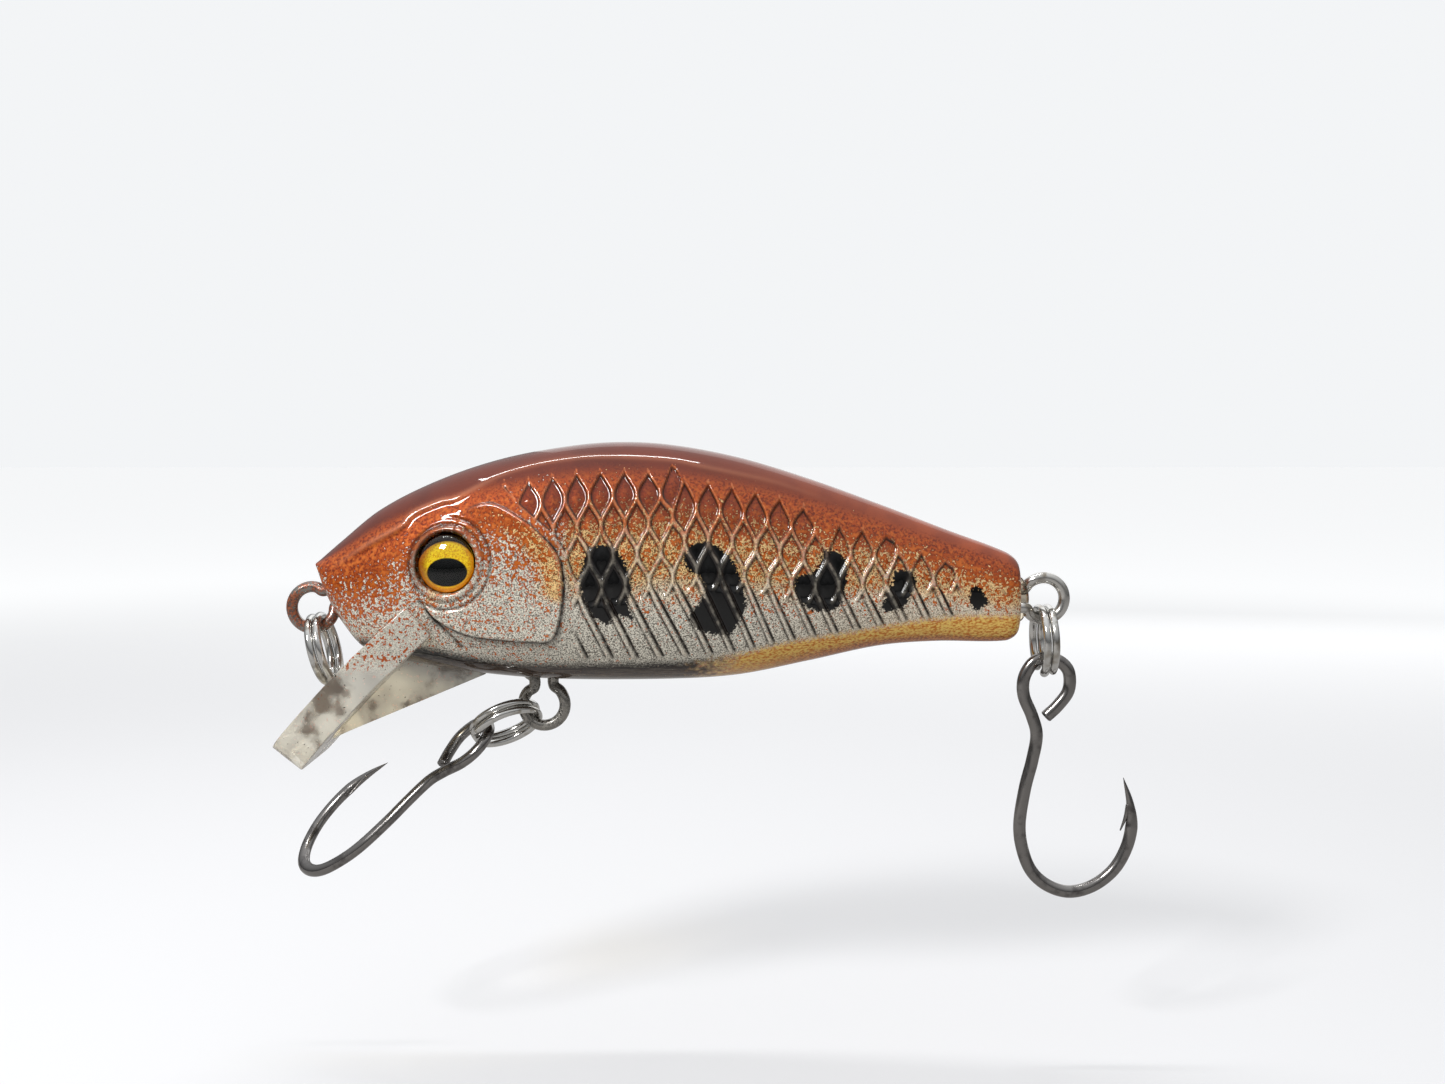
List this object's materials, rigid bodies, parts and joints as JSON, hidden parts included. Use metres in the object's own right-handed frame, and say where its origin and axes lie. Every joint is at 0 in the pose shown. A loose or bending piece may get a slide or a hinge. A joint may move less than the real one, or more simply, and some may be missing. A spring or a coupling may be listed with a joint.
{
  "type": "crankbait lure",
  "caption": "Small minnow-shaped diving fishing lure: hollow painted body with moulded scales, clear angled lip, wire hangers, split rings and single hooks that swing.",
  "frame": {"origin": "centre of the line-tie loop of the nose hanger, which stands out of the snout", "axes": "-X along the body towards the nose's direction of travel, +X towards the tail, +Z towards the back, +Y towards the right flank"},
  "size_m": [0.0609, 0.0113, 0.0328],
  "materials": {
    "body_paint": "moulded shell, speckled rust paint over silver-grey with black spots, thick clear coat",
    "clear_lip": "clear cast plastic with a warm grey tint and paint overspray at its root",
    "eye_foil": "printed gold foil with a black pupil",
    "eye_lens": "clear domed resin",
    "hanger_wire": "stainless wire under clear coat and overspray",
    "ring_steel": "bright stainless",
    "hook_steel": "black nickel over carbon steel",
    "ball_steel": "plain bearing ball"
  },
  "bodies": {
    "lure_body": {"left_body_shell": "body_paint", "right_body_shell": "body_paint", "diving_lip": "clear_lip", "left_eye_foil": "eye_foil", "right_eye_foil": "eye_foil", "left_eye_lens": "eye_lens", "right_eye_lens": "eye_lens", "nose_hanger": "hanger_wire", "belly_hanger": "hanger_wire", "tail_hanger": "hanger_wire", "ballast_ball_1": "ball_steel", "ballast_ball_2": "ball_steel", "ballast_ball_3": "ball_steel"},
    "nose_ring": {"nose_split_ring": "ring_steel"},
    "belly_ring": {"belly_split_ring": "ring_steel"},
    "belly_hook_body": {"belly_hook": "hook_steel"},
    "tail_ring": {"tail_split_ring": "ring_steel"},
    "tail_hook_body": {"tail_hook": "hook_steel"},
    "front_rattle": {"rattle_ball_1": "ball_steel"},
    "rear_rattle": {"rattle_ball_2": "ball_steel"}
  },
  "joints": [
    {"name": "nose_ring_swing", "type": "hinge", "parent": "lure_body", "child": "nose_ring", "pos_m": [0, 0, 0], "axis": [0, 1, 0], "range_deg": [-12, 150]},
    {"name": "belly_ring_swing", "type": "hinge", "parent": "lure_body", "child": "belly_ring", "pos_m": [0.01625, 0, -0.00697], "axis": [0, 1, 0], "range_deg": [-120, 10]},
    {"name": "belly_hook_swing", "type": "hinge", "parent": "belly_ring", "child": "belly_hook_body", "pos_m": [0.01144, 0, -0.00932], "axis": [-0.2192, -0.866, 0.4494], "range_deg": [-20, 80]},
    {"name": "tail_ring_swing", "type": "hinge", "parent": "lure_body", "child": "tail_ring", "pos_m": [0.0518, 0, 0.00055], "axis": [0, 1, 0], "range_deg": [-130, 25]},
    {"name": "tail_hook_swing", "type": "hinge", "parent": "tail_ring", "child": "tail_hook_body", "pos_m": [0.05199, 0, -0.0048], "axis": [0, -1, 0], "range_deg": [-80, 100]},
    {"name": "front_rattle_roll", "type": "slide", "parent": "lure_body", "child": "front_rattle", "axis": [1, 0, 0], "range_m": [-0.00025, 0.00115]},
    {"name": "rear_rattle_roll", "type": "slide", "parent": "lure_body", "child": "rear_rattle", "axis": [1, 0, 0], "range_m": [0, 0.0021]}
  ]
}
